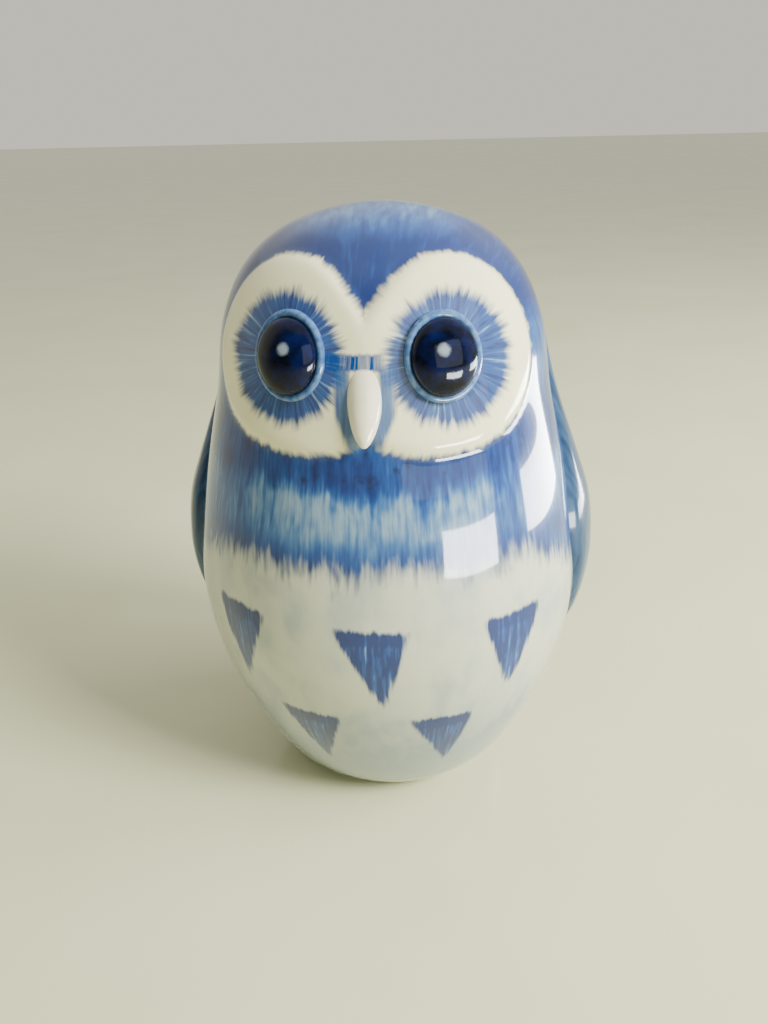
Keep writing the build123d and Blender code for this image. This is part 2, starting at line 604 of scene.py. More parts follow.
class Bench:
    """Node tree of one finish, with the few moves that every finish uses."""

    def __init__(self, name: str, owner: "bpy.types.World | None" = None) -> None:
        """Starts an empty material, or empties the world it is given.

        Args:
            name: Name of the finish.
            owner: World to work on, or nothing for a new material.
        """
        self.material = owner or bpy.data.materials.new(name)
        self.material.use_nodes = True
        self.tree = self.material.node_tree
        self.tree.nodes.clear()
        self.seed = 0.0
        self.place: Skin | None = None

    def make(self, kind: str, settings: dict[str, object], inputs: dict[object, object]
             ) -> bpy.types.Node:
        """Makes a node: its settings first, then the values or links of its sockets.

        Args:
            kind: Type of the node.
            settings: Its settings by name.
            inputs: Its sockets, by name or number, with a value or a paint value each.

        Returns:
            The node.
        """
        node = self.tree.nodes.new(kind)
        for name, value in settings.items():
            setattr(node, name, value)
        for name, value in inputs.items():
            if isinstance(value, Paint):
                self.tree.links.new(value.socket, node.inputs[name])
            else:
                node.inputs[name].default_value = value
        return node

    def sum(self, operation: str, first: "Paint | Number", second: "Paint | Number") -> Paint:
        """One sum on two values.

        Args:
            operation: Name of the sum.
            first: First value.
            second: Second value.

        Returns:
            The result.
        """
        node = self.make("ShaderNodeMath", {"operation": operation}, {0: first, 1: second})
        return Paint(self, node.outputs[0])

    def skin(self) -> Skin:
        """Place on the owl, read once for a finish.

        Returns:
            The place as paint values.
        """
        if self.place is None:
            spot = self.make("ShaderNodeTexCoord", {}, {}).outputs["Object"]
            scaled = self.make("ShaderNodeVectorMath", {"operation": "SCALE"},
                               {0: Paint(self, spot), "Scale": 1.0 / MM})
            parts = self.make("ShaderNodeSeparateXYZ", {}, {0: Paint(self, scaled.outputs[0])})
            x, y, z = (Paint(self, parts.outputs[i]) for i in range(3))
            front = y * (-1.0 / FORM.depth)
            reach = self.sum("SQRT", x * x + front * front + 0.01, 0.0)
            angle = self.sum("ARCTAN2", x, front) * math.degrees(1.0)
            self.place = Skin(x, y, z, angle, x / reach, front / reach)
        return self.place

    def grain(self, x: "Paint | Number", y: "Paint | Number", z: "Paint | Number",
              detail: float = 2.0, roughness: float = 0.5) -> Paint:
        """Noise from about -1 to 1, read at three paint values and never twice alike.

        Args:
            x: First place.
            y: Second place.
            z: Third place.
            detail: How many finer layers it has.
            roughness: How strong the finer layers are.

        Returns:
            The noise.
        """
        self.seed += 31.7
        spot = self.make("ShaderNodeCombineXYZ", {}, {0: x, 1: y, 2: z})
        moved = self.make("ShaderNodeVectorMath", {"operation": "ADD"},
                          {0: Paint(self, spot.outputs[0]), 1: (self.seed, 0.0, 0.0)})
        noise = self.make("ShaderNodeTexNoise", {"noise_dimensions": "3D"}, {
            "Vector": Paint(self, moved.outputs[0]), "Scale": 1.0, "Detail": detail,
            "Roughness": roughness,
        })
        return (Paint(self, noise.outputs[0]) - 0.5) * 3.2

    def strokes(self, width: float, length: float, detail: float = 2.0) -> Paint:
        """Brush strokes that run up and down the form.

        Args:
            width: Width of a stroke in millimetres at the owl's widest.
            length: Length of a stroke in millimetres.
            detail: How many finer layers they have.

        Returns:
            Noise from about -1 to 1.
        """
        place = self.skin()
        turns = 38.0 / width
        wander = self.cloud(7.0, 1.0) * 0.45
        return self.grain(place.sine * turns + wander, place.cosine * turns + wander,
                          place.z / length, detail)

    def fan(self, width: float, length: float, root: float, detail: float = 2.0) -> Paint:
        """Brush strokes that fan out upwards from a low root and run on over the crown.

        Args:
            width: Width of a stroke in millimetres above the eyes.
            length: Length of a stroke in millimetres.
            root: Height that the strokes spread from, in millimetres.
            detail: How many finer layers they have.

        Returns:
            Noise from about -1 to 1.
        """
        place = self.skin()
        wander = self.cloud(6.0, 1.0) * 0.4
        spread = place.x * (24.0 / width) / (place.z - root).most(4.0)
        return self.grain(spread + wander, place.y / length, place.z / length, detail)

    def cloud(self, size: float, detail: float = 2.0) -> Paint:
        """Soft noise with no direction.

        Args:
            size: Size of a patch in millimetres.
            detail: How many finer layers it has.

        Returns:
            Noise from about -1 to 1.
        """
        place = self.skin()
        return self.grain(place.x / size, place.y / size, place.z / size, detail)

    def mix(self, share: "Paint | Number", under: "Paint | Colour", over: "Paint | Colour"
            ) -> Paint:
        """One colour laid over another.

        Args:
            share: How much the upper colour covers.
            under: Lower colour.
            over: Upper colour.

        Returns:
            The mixed colour.
        """
        node = self.make("ShaderNodeMix", {"data_type": "RGBA"}, {0: share, 6: under, 7: over})
        return Paint(self, node.outputs[2])

    def glaze(self, colour: Paint, gloss: Gloss, dull: "Paint | None" = None
              ) -> bpy.types.Material:
        """Lays the clear glaze over a colour and ends the finish.

        Args:
            colour: Colour under the glaze.
            gloss: How the glaze shines.
            dull: Where the clay is bare and unglazed.

        Returns:
            The finished material.
        """
        patchy = self.cloud(11.0)
        roughness = gloss.roughness + gloss.uneven * patchy
        coat: Paint | Number = gloss.coat
        if dull is not None:
            roughness = roughness + dull * 0.5
            coat = gloss.coat - gloss.coat * dull
        ripple = self.cloud(gloss.ripple_size, 1.0) + 0.12 * self.cloud(1.1, 2.0)
        bump = self.make("ShaderNodeBump", {}, {
            "Strength": 1.0, "Distance": gloss.ripple_depth * MM, "Height": ripple,
        })
        shader = self.make("ShaderNodeBsdfPrincipled", {}, {
            "Base Color": colour, "Roughness": roughness, "Coat Weight": coat,
            "Coat Roughness": gloss.coat_roughness, "Coat IOR": gloss.coat_index, "IOR": 1.5,
            "Specular IOR Level": gloss.under,
            "Normal": Paint(self, bump.outputs[0]),
        })
        self.make("ShaderNodeOutputMaterial", {}, {"Surface": Paint(self, shader.outputs[0])})
        return self.material


@dataclass(frozen=True)
class Cobalt:
    """Pigments of the painter's tray, from bare white to the darkest blue."""

    white: Colour = ink(208, 212, 193)
    # Grey for the belly's washes, and for the painted shade low on the belly.
    grey_wash_and_shade: Colour = ink(156, 170, 173)
    ivory: Colour = ink(251, 248, 206)
    wash: Colour = ink(136, 166, 192)
    pale: Colour = ink(60, 110, 168)
    middle: Colour = ink(8, 68, 144)
    deep: Colour = ink(0, 38, 108)
    darkest: Colour = ink(3, 12, 42)
    clay: Colour = ink(206, 196, 172)


TRAY = Cobalt()


@dataclass(frozen=True)
class Triangle:
    """One painted breast mark, hanging point down: angles in degrees, heights in millimetres."""

    middle: float
    top: float
    wide: float
    drop: float
    lean: float
    round: float = 2.6

    def corners(self) -> list[Station]:
        """The tip, then the two ends of the top edge, as angle and height."""
        tip = (self.middle + self.lean, self.top - self.drop)
        half = 0.5 * self.wide
        return [tip, (self.middle + half, self.top), (self.middle - half, self.top)]

    def inside(self, place: Skin, stretch: float) -> tuple[Paint, Paint]:
        """How far a point is inside the mark.

        Args:
            place: Where the point is.
            stretch: Millimetres on the skin to a degree.

        Returns:
            Distance inside the nearest edge, and distance below the top edge.
        """
        corners = self.corners()
        gaps = []
        for (a0, z0), (a1, z1) in zip(corners, corners[1:] + corners[:1]):
            run, rise = (a1 - a0) * stretch, z1 - z0
            length = math.hypot(run, rise)
            across = (place.angle - a0) * (stretch * rise / length)
            gaps.append((place.z - z0) * (run / length) - across)
        return gaps[0].merge(gaps[1], self.round).merge(gaps[2], self.round), gaps[1]


@dataclass(frozen=True)
class PaintedGlaze:
    """Finish of the body: cobalt brushwork on white porcelain, under clear glaze."""

    gloss: Gloss = Gloss()
    mark_middle: float = 0.5
    mark_gap: float = 41.0
    mark_wide: float = 20.0
    upper_top: float = 52.0
    upper_drop: float = 17.0
    lower_top: float = 30.5
    lower_drop: float = 15.0
    stretch: float = 0.65

    def make(self) -> bpy.types.Material:
        """Paints from the bare white up, then glazes.

        Returns:
            The finished material.
        """
        bench = Bench("painted_glaze_owl")
        place = bench.skin()
        out, up, reach = self.from_eye(bench)
        cosine, sine = out / (reach + 0.01), up / (reach + 0.01)
        side = place.x.step(-0.01, 0.01) * 40.0
        wander = bench.cloud(4.0, 1.0) * 0.4
        rays = bench.grain(cosine * 8.0 + wander, sine * 8.0 + wander, reach / 6.0 + side)
        fine_rays = bench.grain(cosine * 17.0 + wander, sine * 17.0, reach / 8.0 + side)
        above = place.z.step(98.0, 108.0)
        strokes = self.turned_to(above, bench.strokes(1.5, 9.0), bench.fan(1.4, 7.0, 86.0))
        fine = self.turned_to(above, bench.strokes(0.7, 8.0), bench.fan(0.7, 6.0, 86.0))
        broad = self.turned_to(above, bench.strokes(5.0, 14.0), bench.fan(4.0, 10.0, 86.0))
        lobe = FACE.lobe(cosine, sine) - reach
        colour = self.ground(bench, broad)
        colour = self.mantle(bench, colour, strokes, fine, broad)
        colour = self.lobes(bench, colour, lobe, rays, fine_rays)
        colour = self.irises(bench, colour, out, up, rays, fine_rays)
        colour = self.beak_lines(bench, colour, fine)
        colour = self.breast_marks(bench, colour, strokes, fine)
        bare = (place.z + 0.1 * fine).step(1.1, 0.7)
        colour = bench.mix(bare, colour, TRAY.clay)
        return bench.glaze(colour, self.gloss, bare)

    def marks(self) -> list[Triangle]:
        """Three triangles above and two in the gaps below, each with its brush's own lean."""
        rows = (
            (self.upper_top, self.upper_drop, ((-1.0, -1.0), (0.0, 3.0), (1.0, 0.0))),
            (self.lower_top, self.lower_drop, ((-0.5, 1.0), (0.5, 4.0))),
        )
        return [
            Triangle(self.mark_middle + self.mark_gap * place, top, self.mark_wide, drop, lean)
            for top, drop, row in rows for place, lean in row
        ]

    def turned_to(self, share: Paint, low: Paint, high: Paint) -> Paint:
        """One set of strokes below, passing into another above."""
        return low + (high - low) * share

    def brushed(self, bench: Bench, depth: Paint, spans: Sequence[Station]) -> Paint:
        """Cobalt from a thin wash to a full load of the brush.

        Args:
            bench: Node tree of the finish.
            depth: How much colour the brush left.
            spans: Depths over which pale, middle and deep blue each come in.

        Returns:
            The colour.
        """
        tone: Paint | Colour = TRAY.wash
        for (low, high), pigment in zip(spans, (TRAY.pale, TRAY.middle, TRAY.deep)):
            tone = bench.mix(depth.step(low, high), tone, pigment)
        return tone

    def from_eye(self, bench: Bench) -> tuple[Paint, Paint, Paint]:
        """Place seen from the middle of the nearer eye.

        Args:
            bench: Node tree of the finish.

        Returns:
            Distances outwards, upwards and straight, in millimetres.
        """
        place = bench.skin()
        seat = FORM.seat(FACE.eye_z, FACE.eye_angle, 0.0)
        middle = seat.translation / MM
        spot = bench.make("ShaderNodeCombineXYZ", {}, {0: abs(place.x), 1: place.y, 2: place.z})
        gap = bench.make("ShaderNodeVectorMath", {"operation": "SUBTRACT"},
                         {0: Paint(bench, spot.outputs[0]), 1: tuple(middle)})
        gap_paint = Paint(bench, gap.outputs[0])
        along = [
            Paint(bench, bench.make("ShaderNodeVectorMath", {"operation": "DOT_PRODUCT"},
                                    {0: gap_paint, 1: tuple(seat.col[i].xyz)}).outputs["Value"])
            for i in range(2)
        ]
        straight = bench.make("ShaderNodeVectorMath", {"operation": "LENGTH"}, {0: gap_paint})
        return along[0], along[1], Paint(bench, straight.outputs["Value"])

    def ground(self, bench: Bench, broad: Paint) -> Paint:
        """White glaze with faint grey washes in patches, and grey wash with painted shade darkening
        it low on the belly.

        Args:
            bench: Node tree of the finish.
            broad: Broad strokes.

        Returns:
            The colour.
        """
        place = bench.skin()
        # Darker towards the foot: partly a grey wash, partly painted shade where the belly faces
        # the table.
        low_wash_and_shade = place.z.step(42.0, 12.0) * 0.95
        patches = (bench.cloud(9.0) + 0.8 * broad).step(-0.5, 1.5) * 0.75
        return bench.mix((low_wash_and_shade + patches).least(1.0), TRAY.white, TRAY.grey_wash_and_shade)

    def mantle(self, bench: Bench, under: Paint, strokes: Paint, fine: Paint, broad: Paint
               ) -> Paint:
        """Cobalt over the crown and back, and the bib under the face with its fringe.

        Args:
            bench: Node tree of the finish.
            under: Colour below.
            strokes: Middle strokes.
            fine: Fine strokes.
            broad: Broad strokes.

        Returns:
            The colour.
        """
        place = bench.skin()
        wide = abs(place.angle)
        brush = strokes * 0.5 + fine * 0.5
        fringe_end = 62.2 - wide.step(44.0, 72.0) * 6.5 - wide.step(95.0, 150.0) * 9.0
        ragged = 2.4 * strokes + 1.5 * fine + 1.6 * broad
        cover = (place.z - fringe_end + ragged).step(-2.4, 3.6)
        middle = (wide + 5.0 * broad).step(44.0, 20.0)
        window = place.z + 3.0 * broad + 1.4 * strokes
        pale_patch = window.step(80.0, 74.0) * window.step(62.0, 71.5) * middle
        pale_patch = pale_patch * (0.85 + 0.35 * bench.cloud(5.0))
        hem = window.step(70.0, 65.0) * wide.step(95.0, 60.0)
        collar = (place.z + 1.2 * strokes).step(75.0, 79.5) * place.z.step(96.0, 86.0)
        crown = (place.z + 1.2 * brush).step(114.0, 118.5)
        facing = wide.step(112.0, 74.0)
        depth = 0.52 + 0.48 * brush + 0.22 * broad + 0.26 * hem
        depth = depth + (0.34 * collar + 0.50 * place.z.step(100.0, 106.0)) * facing
        depth = depth - 0.54 * pale_patch - 0.54 * crown
        depth = depth - 0.10 * wide.step(40.0, 60.0) * place.z.step(92.0, 84.0)
        tone = self.brushed(bench, depth, ((-0.15, 0.40), (0.25, 0.68), (0.55, 1.05)))
        spots = (bench.cloud(2.6, 3.0) + 0.5 * strokes).step(0.25, 1.0) * collar * facing
        tone = bench.mix(spots * 0.75, tone, TRAY.darkest)
        return bench.mix(cover * 0.96, under, tone)

    def lobes(self, bench: Bench, under: Paint, lobe: Paint, rays: Paint, fine_rays: Paint
              ) -> Paint:
        """Ivory of the two face lobes, with blue strokes feathered into their edge.

        Args:
            bench: Node tree of the finish.
            under: Colour below.
            lobe: Distance inside the face lobes.
            rays: Strokes that run out from the eye.
            fine_rays: Finer strokes that run out from the eye.

        Returns:
            The colour.
        """
        place = bench.skin()
        front = place.y.step(2.0, -3.0)
        mask = (lobe + 0.45 * rays + 0.55 * fine_rays).step(-0.7, 0.9) * front
        return bench.mix(mask, under, TRAY.ivory)

    def irises(self, bench: Bench, under: Paint, out: Paint, up: Paint, rays: Paint,
               fine_rays: Paint) -> Paint:
        """Blue rays round each eye, ragged outside and paler at the lid.

        Args:
            bench: Node tree of the finish.
            under: Colour below.
            out: Distance outwards from the eye.
            up: Distance upwards from the eye.
            rays: Strokes that run out from the eye.
            fine_rays: Finer strokes that run out from the eye.

        Returns:
            The colour.
        """
        side, rise = out - FACE.iris_out, up - FACE.iris_up
        far = bench.sum("SQRT", side * side + rise * rise, 0.0)
        ragged = FACE.iris_radius - far + 0.6 * rays + 0.9 * fine_rays
        mask = ragged.step(-1.0, 1.5) * bench.skin().y.step(2.0, -3.0)
        depth = 0.74 + 0.62 * fine_rays + 0.28 * rays - 0.16 * far.step(9.0, 11.5)
        tone = self.brushed(bench, depth, ((0.05, 0.50), (0.30, 0.70), (0.70, 1.15)))
        return bench.mix(mask * 0.95, under, tone)

    def beak_lines(self, bench: Bench, under: Paint, fine: Paint) -> Paint:
        """Blue line down each side of the beak, and the short bar across its root.

        Args:
            bench: Node tree of the finish.
            under: Colour below.
            fine: Fine strokes.

        Returns:
            The colour.
        """
        place = bench.skin()
        edge = 3.6 - place.z.step(91.0, 84.5) * 1.8
        line = abs(abs(place.x) - edge) + 0.25 * fine
        span = place.z.step(82.0, 86.0) * place.z.step(99.5, 96.5) * place.y.step(2.0, -3.0)
        lines = line.step(1.9, 0.7) * span
        bar = (abs(place.z - 98.6) + 0.35 * fine).step(1.7, 1.0)
        bar = bar * place.angle.step(-19.0, -15.0) * place.angle.step(7.0, 4.5)
        colour = bench.mix(lines * 0.9, under, bench.mix(fine.step(-0.8, 0.8), TRAY.middle,
                                                         TRAY.pale))
        return bench.mix(bar * (0.85 + 0.4 * fine).least(1.0).most(0.0), colour, TRAY.middle)

    def breast_marks(self, bench: Bench, under: Paint, strokes: Paint, fine: Paint) -> Paint:
        """Five brushed triangles, dark along the top and streaked down to the tip.

        Args:
            bench: Node tree of the finish.
            under: Colour below.
            strokes: Middle strokes.
            fine: Fine strokes.

        Returns:
            The colour.
        """
        place = bench.skin()
        mask: Paint | None = None
        top: Paint | None = None
        for mark in self.marks():
            gap, below = mark.inside(place, self.stretch)
            part = (gap + 0.5 * fine + 0.35 * strokes).step(-0.75, 0.35)
            band = part * below.step(3.4, 2.0)
            mask = part if mask is None else mask.most(part)
            top = band if top is None else top.most(band)
        depth = 0.80 + 0.78 * fine + 0.34 * strokes + 0.34 * top
        tone = self.brushed(bench, depth, ((-0.05, 0.45), (0.20, 0.60), (0.60, 1.0)))
        return bench.mix(mask * 0.96, under, tone)


@dataclass(frozen=True)
class NavyGlaze:
    """Finish of the eyes: near-black blue with a soft pale dot, a painted highlight."""

    side: Side
    gloss: Gloss = Gloss(roughness=0.10, uneven=0.02, coat=0.35, coat_roughness=0.015,
                         ripple_depth=0.003)
    # Place and size of the painted highlight dot, in millimetres on the eye.
    highlight_out: float = -0.9
    highlight_up: float = 1.3
    highlight_radius: float = 1.15

    def make(self) -> bpy.types.Material:
        """Mottled navy, then the pale dot of painted highlight, then the glaze.

        Returns:
            The finished material.
        """
        bench = Bench("navy_glaze_" + self.side.name.lower())
        place = bench.skin()
        seat = FORM.seat(FACE.eye_z, FACE.eye_angle * self.side.value, 3.2)
        dot = seat @ Vector((self.highlight_out * self.side.value * MM, self.highlight_up * MM, 0.0)) / MM
        spot = bench.make("ShaderNodeCombineXYZ", {}, {0: place.x, 1: place.y, 2: place.z})
        far = bench.make("ShaderNodeVectorMath", {"operation": "DISTANCE"},
                         {0: Paint(bench, spot.outputs[0]), 1: tuple(dot)})
        gap = Paint(bench, far.outputs["Value"]) + 0.12 * bench.cloud(0.7)
        patches = bench.cloud(2.2).step(-0.6, 0.9)
        colour = bench.mix(patches, ink(4, 7, 20), ink(8, 20, 66))
        # Soft pale dot, up and towards the beak on each eye: a painted highlight.
        colour = bench.mix(gap.step(self.highlight_radius + 0.25, self.highlight_radius - 0.45) * 0.8,
                           colour, ink(150, 164, 184))
        return bench.glaze(colour, self.gloss)


@dataclass(frozen=True)
class LidGlaze:
    """Finish of the rims round the eyes: mottled pale blue."""

    gloss: Gloss = Gloss()

    def make(self) -> bpy.types.Material:
        """Soft blue patches, from thin to full.

        Returns:
            The finished material.
        """
        bench = Bench("lid_glaze_rim")
        colour = bench.mix(bench.cloud(1.3).step(-0.9, 0.9), ink(44, 86, 144), ink(104, 140, 186))
        return bench.glaze(colour, self.gloss)


@dataclass(frozen=True)
class IvoryGlaze:
    """Finish of the beak: warm white, faintly shaded with blue at its root."""

    gloss: Gloss = Gloss()

    def make(self) -> bpy.types.Material:
        """Warm white, with blue strokes across the root.

        Returns:
            The finished material.
        """
        bench = Bench("ivory_glaze_beak")
        place = bench.skin()
        fine = bench.strokes(0.6, 9.0)
        warm = bench.mix(bench.cloud(3.0).step(-0.8, 0.8), ink(255, 251, 226), ink(243, 238, 212))
        bar = (abs(place.z - 98.9) + 0.3 * fine).step(1.6, 0.9) * (0.85 + 0.4 * fine)
        colour = bench.mix(bar.least(1.0).most(0.0), warm, TRAY.middle)
        return bench.glaze(colour, self.gloss)


@dataclass(frozen=True)
class WingGlaze:
    """Finish of the wings: slate navy drawn down in long strokes."""

    gloss: Gloss = Gloss(roughness=0.2, coat=0.45)

    def make(self) -> bpy.types.Material:
        """Long dark strokes that thin to a paler blue at the shoulder.

        Returns:
            The finished material.
        """
        bench = Bench("wing_glaze_slate")
        place = bench.skin()
        brush = bench.strokes(1.0, 34.0) * 0.6 + bench.strokes(3.0, 50.0) * 0.5
        colour = bench.mix(brush.step(-0.9, 0.7), ink(20, 40, 70), ink(58, 88, 122))
        thin = (place.z + 3.0 * brush).step(88.0, 100.0)
        colour = bench.mix(thin * 0.5, colour, TRAY.pale)
        return bench.glaze(colour, self.gloss)


@dataclass(frozen=True)
class TailGlaze:
    """Finish of the tail: cobalt strokes down to a pale tip."""

    gloss: Gloss = Gloss(roughness=0.2)

    def make(self) -> bpy.types.Material:
        """Strokes along the tail, and a pale edge at its end.

        Returns:
            The finished material.
        """
        bench = Bench("tail_glaze_cobalt")
        place = bench.skin()
        brush = bench.strokes(0.9, 20.0) * 0.6 + bench.strokes(2.6, 30.0) * 0.5
        colour = bench.mix(brush.step(-0.8, 0.8), TRAY.deep, TRAY.pale)
        tip = (place.z + 1.2 * brush).step(11.0, 8.0)
        colour = bench.mix(tip * 0.9, colour, TRAY.white)
        return bench.glaze(colour, self.gloss)


@dataclass(frozen=True)
class BarePorcelain:
    """Finish of the base plate: unglazed clay, slightly rough and specked by the kiln."""

    gloss: Gloss = Gloss(roughness=0.55, uneven=0.08, coat=0.0, ripple_size=1.5, ripple_depth=0.02)

    def make(self) -> bpy.types.Material:
        """Biscuit colour with fine specks.

        Returns:
            The finished material.
        """
        bench = Bench("bare_porcelain_plate")
        colour = bench.mix(bench.cloud(5.0).step(-1.0, 1.0), TRAY.clay, ink(226, 218, 202))
        colour = bench.mix(bench.cloud(0.5, 3.0).step(1.0, 1.4) * 0.6, colour, ink(120, 98, 74))
        return bench.glaze(colour, self.gloss)


@dataclass(frozen=True)
class BodyShell:
    """Slip-cast body with its foot ring, plate seat, casting hole and hollow inside."""

    form: OwlForm = FORM
    face: Face = FACE
    sides: int = 64
    outer_rows: int = 36
    inner_rows: int = 12
    crown_share: float = 0.985
    foot: tuple[Station, ...] = (
        (19.55, 0.5), (19.2, 0.1), (18.5, 0.0), (17.4, 0.0), (16.7, 0.08), (16.42, 0.4),
        (16.4, 1.0), (16.2, 1.18), (15.2, 1.2), (15.0, 1.35), (15.0, 3.6), (14.8, 3.8),
        (13.1, 3.8), (12.8, 3.95), (12.8, 5.0), (13.0, 5.2), (19.5, 5.25),
    )

    def rows(self) -> list[tuple[float, float, float]]:
        """Rows from the crown down the outside, under the foot and up the inside.

        Returns:
            Radius, height and distance in front of the axis of each row.
        """
        last = self.outer_rows - 1
        outside = [self.form.outline(self.crown_share * (last - i) / last) for i in range(last + 1)]
        inside = []
        for i in range(self.inner_rows):
            radius, z = self.form.outline(0.06 + 0.90 * i / (self.inner_rows - 1))
            shrink = (self.form.height - self.form.wall) / self.form.height
            inside.append((max(2.0, radius - self.form.wall), z * shrink))
        return [(radius, z, 0.0) for radius, z in [*outside, *self.foot, *inside]]

    def on_skin(self, spot: Vector) -> bool:
        """Whether a point is on the outside of the owl's face."""
        _, z, reach = self.form.place(spot)
        return spot.y < 0.0 and z > 70.0 and reach > self.form.radius(round(z, 1)) - 1.5

    def disc(self, spot: Vector) -> float:
        """Share of the face disc's height at a point.

        Args:
            spot: Point in metres.

        Returns:
            A share from 0 to 1.
        """
        if not self.on_skin(spot):
            return 0.0
        out, up, reach = self.face.local(self.form, spot)
        if reach < 0.5:
            return 1.0
        inside = self.face.lobe(out / reach, up / reach) - reach
        return ease(inside, -0.5 * self.face.disc_edge + 0.6, 0.5 * self.face.disc_edge + 0.6)

    def dish(self, spot: Vector) -> float:
        """Share of the shallow dish round each eye at a point."""
        if not self.on_skin(spot):
            return 0.0
        reach = self.face.local(self.form, spot)[2]
        return 1.0 - ease(reach, self.face.dish_inner, self.face.dish_outer)

    def build(self, finish: bpy.types.Material) -> bpy.types.Object:
        """Pulls the shell, rounds it, and raises the face.

        Args:
            finish: Painted glaze.

        Returns:
            The finished body.
        """
        rows = self.rows()
        clay = Clay.ring("owl_body", self.sides, rows[0])
        clay.pull(rows, self.form.depth)
        clay.soften(2)
        clay.swell(self.face.disc_height, self.disc)
        clay.swell(-self.face.dish_depth, self.dish)
        return clay.hand_over(finish, Slot.BODY, ["body_shell"])


@dataclass(frozen=True)
class Eye:
    """Glossy dome of one eye."""

    side: Side
    form: OwlForm = FORM
    face: Face = FACE
    half_width: float = 5.6
    half_height: float = 6.3
    half_depth: float = 3.1
    out: float = 0.8

    def build(self, finish: bpy.types.Material) -> bpy.types.Object:
        """Flattens a ball into a dome and cuts its hidden back flat.

        Args:
            finish: Navy glaze.

        Returns:
            The finished eye.
        """
        seat = self.form.seat(self.face.eye_z, self.face.eye_angle * self.side.value, self.out)
        sizes = (self.half_width * MM, self.half_height * MM, self.half_depth * MM)
        clay = Clay("eye_dome_" + self.side.name.lower(), lambda: (
            bpy.ops.mesh.primitive_uv_sphere_add(segments=64, ring_count=32, radius=1.0)
        ))
        clay.piece.matrix_world = seat @ Matrix.Diagonal((*sizes, 1.0))
        clay.settle()
        inward = seat.translation - seat.col[2].xyz * 1.8 * MM
        clay.halve(inward, seat.col[2].xyz)
        return clay.hand_over(finish, Slot.EYES, ["eye_" + self.side.name.lower()])


@dataclass(frozen=True)
class Lid:
    """Raised rim luted round one eye, a little heavier above."""

    side: Side
    form: OwlForm = FORM
    face: Face = FACE
    half_width: float = 5.95
    half_height: float = 6.6
    rim: float = 0.66
    out: float = 0.25
    brow: float = 1.035

    def build(self, finish: bpy.types.Material) -> bpy.types.Object:
        """Stretches a hoop to an oval, seats it on the skin and swells its upper half.

        Args:
            finish: Lid glaze.

        Returns:
            The finished rim.
        """
        name = self.side.name.lower()
        seat = self.form.seat(self.face.eye_z, self.face.eye_angle * self.side.value, self.out)
        clay = Clay("eyelid_rim_" + name, lambda: bpy.ops.mesh.primitive_torus_add(
            major_radius=self.half_width * MM, minor_radius=self.rim * MM,
            major_segments=96, minor_segments=20,
        ))
        clay.piece.matrix_world = seat @ Matrix.Diagonal(
            (1.0, self.half_height / self.half_width, 1.0, 1.0))
        clay.settle()
        middle = seat.translation
        clay.press(middle, (1.0, 1.0, self.brow), lambda spot: spot.z > middle.z)
        return clay.hand_over(finish, Slot.LIDS, ["eyelid_ring_" + name])


@dataclass(frozen=True)
class Beak:
    """Drop-shaped beak that hangs from the root between the eyes."""

    form: OwlForm = FORM
    sides: int = 32
    root_z: float = 101.0
    tip_z: float = 85.5
    root_sink: float = 2.4
    tip_out: float = 2.6
    drop: tuple[Station, ...] = (
        (0.0, 0.35), (0.03, 0.9), (0.08, 1.45), (0.16, 2.05), (0.28, 2.6), (0.42, 2.95),
        (0.58, 3.05), (0.72, 2.9), (0.84, 2.45), (0.93, 1.7), (0.98, 0.95), (1.0, 0.45),
    )

    def build(self, finish: bpy.types.Material) -> bpy.types.Object:
        """Pulls a ring from the tip up to the root, leaning back into the face.

        Args:
            finish: Ivory glaze.

        Returns:
            The finished beak.
        """
        tip = self.form.radius(self.tip_z) + self.tip_out
        root = self.form.radius(self.root_z) - self.root_sink
        rows = []
        for share, radius in self.drop:
            lean = tip + (root - tip) * share - radius * 0.25 * (1.0 - share)
            rows.append((radius, self.tip_z + (self.root_z - self.tip_z) * share, lean))
        clay = Clay.ring("owl_beak", self.sides, rows[0])
        clay.pull(rows, self.form.depth)
        clay.soften(2)
        return clay.hand_over(finish, Slot.BEAK, ["beak"])


@dataclass(frozen=True)
class Leaf:
    """A raised leaf of skin, swelled out of a patch of the body's own form."""

    name: str
    form: OwlForm
    low: float
    high: float
    rows: int
    sides: int
    sink: float
    thickness: float

    def patch(self, inside: Callable[[float], bool]) -> Clay:
        """Turns a band of skin and cuts the patch out of it.

        Args:
            inside: Says of an angle in degrees whether it is on the patch.

        Returns:
            The patch.
        """
        step = (self.high - self.low) / (self.rows - 1)
        heights = [self.low + step * i for i in range(self.rows)]
        rows = [(self.form.radius(z) - self.sink, z, 0.0) for z in heights]
        clay = Clay.ring(self.name, self.sides, rows[0])
        clay.pull(rows, self.form.depth)
        span = (self.low + 0.1) * MM, (self.high - 0.1) * MM
        clay.keep(lambda spot: span[0] < spot.z < span[1] and inside(self.form.place(spot)[0]))
        clay.soften(2)
        return clay

    def close(self, clay: Clay) -> None:
        """Gives the leaf its thickness, inwards."""
        clay.apply("SOLIDIFY", {"thickness": self.thickness * MM, "offset": -1.0})


